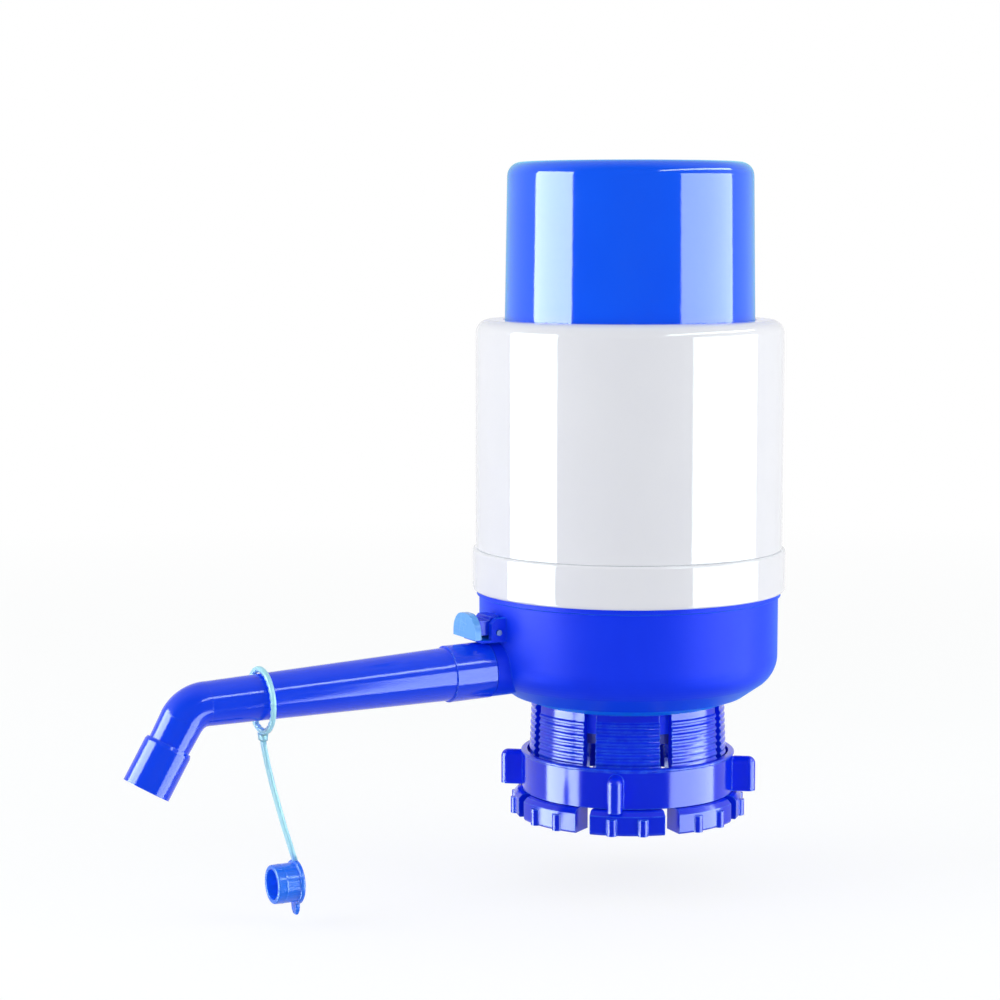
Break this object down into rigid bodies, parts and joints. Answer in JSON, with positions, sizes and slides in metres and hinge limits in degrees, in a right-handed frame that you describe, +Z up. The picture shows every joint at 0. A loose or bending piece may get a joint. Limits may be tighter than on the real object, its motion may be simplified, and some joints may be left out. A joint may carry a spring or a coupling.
{
  "type": "water jug hand pump",
  "caption": "Hand pump that grips a water jug's neck: a pressed cap works a bellows, and water leaves by a drooping swivel spout with a tethered dust cap.",
  "frame": {"origin": "centre of the mouth of the fingers that grip the jug's neck", "axes": "+Z up along the pump's axis, the spout points along -X, +Y completes the frame"},
  "size_m": [0.2183, 0.0992, 0.2266],
  "materials": {
    "cap_blue": "glossy moulded plastic",
    "white_shell": "glossy moulded plastic",
    "base_blue": "satin moulded plastic",
    "neck_blue": "glossy moulded plastic",
    "spout_blue": "glossy moulded plastic",
    "lever_blue": "glossy moulded plastic",
    "tether_cyan": "soft translucent plastic",
    "cap_plug_blue": "soft moulded plastic",
    "natural_plastic": "milky moulded plastic",
    "bellows_plastic": "soft milky plastic",
    "white_rubber": "soft rubber",
    "black_rubber": "rubber",
    "steel": "drawn stainless wire"
  },
  "bodies": {
    "body": {"casing": "white_shell", "casing_collar": "white_shell", "bellows": "bellows_plastic", "return_spring": "steel", "bellows_ring": "natural_plastic", "deck_screws": "steel", "valve_deck": "natural_plastic", "base_cup": "base_blue", "water_elbow": "natural_plastic", "bottle_gasket": "black_rubber", "neck_collet": "neck_blue", "spout_o_rings": "black_rubber", "lever_pin": "steel", "lever_spring": "steel"},
    "cap": {"press_cap": "cap_blue", "bellows_top_plate": "natural_plastic"},
    "intake": {"intake_valve": "white_rubber"},
    "outlet": {"outlet_valve": "white_rubber"},
    "ring": {"clamp_ring": "neck_blue"},
    "spout": {"spout": "spout_blue"},
    "lever": {"relief_lever": "lever_blue", "vent_seal": "black_rubber"},
    "tether": {"tether_ring": "tether_cyan", "tether_strap": "tether_cyan", "dust_cap": "cap_plug_blue"}
  },
  "joints": [
    {"name": "cap_press", "type": "slide", "parent": "body", "child": "cap", "axis": [0, 0, -1], "range_m": [0, 0.038], "stiffness_N_per_m": 500, "springref_m": -0.01, "deforming": ["bellows", "return_spring"]},
    {"name": "intake_lift", "type": "slide", "parent": "cap", "child": "intake", "axis": [0, 0, -1], "range_m": [0, 0.0012], "stiffness_N_per_m": 40, "springref_m": -0.002},
    {"name": "outlet_lift", "type": "slide", "parent": "body", "child": "outlet", "axis": [0, 0, -1], "range_m": [0, 0.0012], "stiffness_N_per_m": 40, "springref_m": -0.002},
    {"name": "ring_screw", "type": "slide", "parent": "body", "child": "ring", "axis": [0, 0, 1], "range_m": [0, 0.015]},
    {"name": "spout_swivel", "type": "hinge", "parent": "body", "child": "spout", "pos_m": [-0.05997, 0, 0.04968], "axis": [-0.9995, 0, -0.0314], "range_deg": [-90, 90]},
    {"name": "lever_press", "type": "hinge", "parent": "body", "child": "lever", "pos_m": [-0.0496, 0, 0.06218], "axis": [0, -1, 0], "range_deg": [0, 9], "stiffness_Nm_per_rad": 0.02, "springref_deg": -11.46, "deforming": ["lever_spring"]},
    {"name": "tether_swing", "type": "hinge", "parent": "body", "child": "tether", "pos_m": [-0.12593, 0, 0.04761], "axis": [-0.9995, 0, -0.0314], "range_deg": [-80, 80]}
  ]
}
